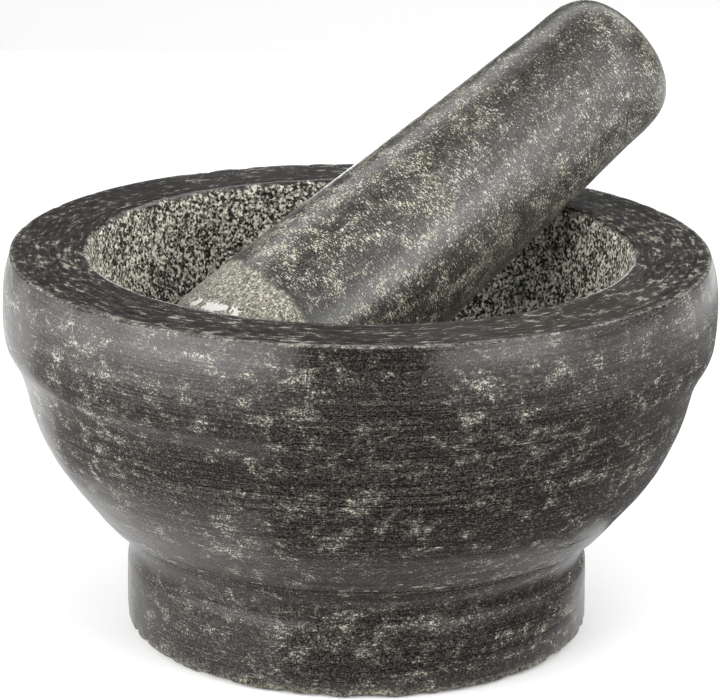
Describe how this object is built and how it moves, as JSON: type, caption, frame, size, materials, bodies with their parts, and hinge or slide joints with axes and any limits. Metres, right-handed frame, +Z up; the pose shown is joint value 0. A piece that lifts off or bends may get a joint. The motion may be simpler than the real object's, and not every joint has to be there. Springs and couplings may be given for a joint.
{
  "type": "mortar and pestle",
  "caption": "Footed round stone mortar with a thick flat rim, a collar and a pecked hollow, and a tapered stone pestle that rests in it and lifts out.",
  "frame": {"origin": "centre of the foot's flat underside, on the table", "axes": "+Z up, out of the bowl's mouth; the user stands on the -Y side; the working end of the pestle lies on the -X side and its grip end leans over the +X +Y side of the rim"},
  "size_m": [0.2032, 0.2032, 0.1708],
  "materials": {
    "mortar_stone": "honed dark speckled granite outside, polished rim, rough pecked hollow",
    "pestle_stone": "polished dark speckled granite, rough working end"
  },
  "bodies": {
    "mortar": {"mortar": "mortar_stone"},
    "pestle": {"pestle": "pestle_stone"}
  },
  "joints": [
    {"name": "pestle_lift", "type": "slide", "parent": "mortar", "child": "pestle", "axis": [0, 0, 1], "range_m": [0, 0.15]}
  ]
}
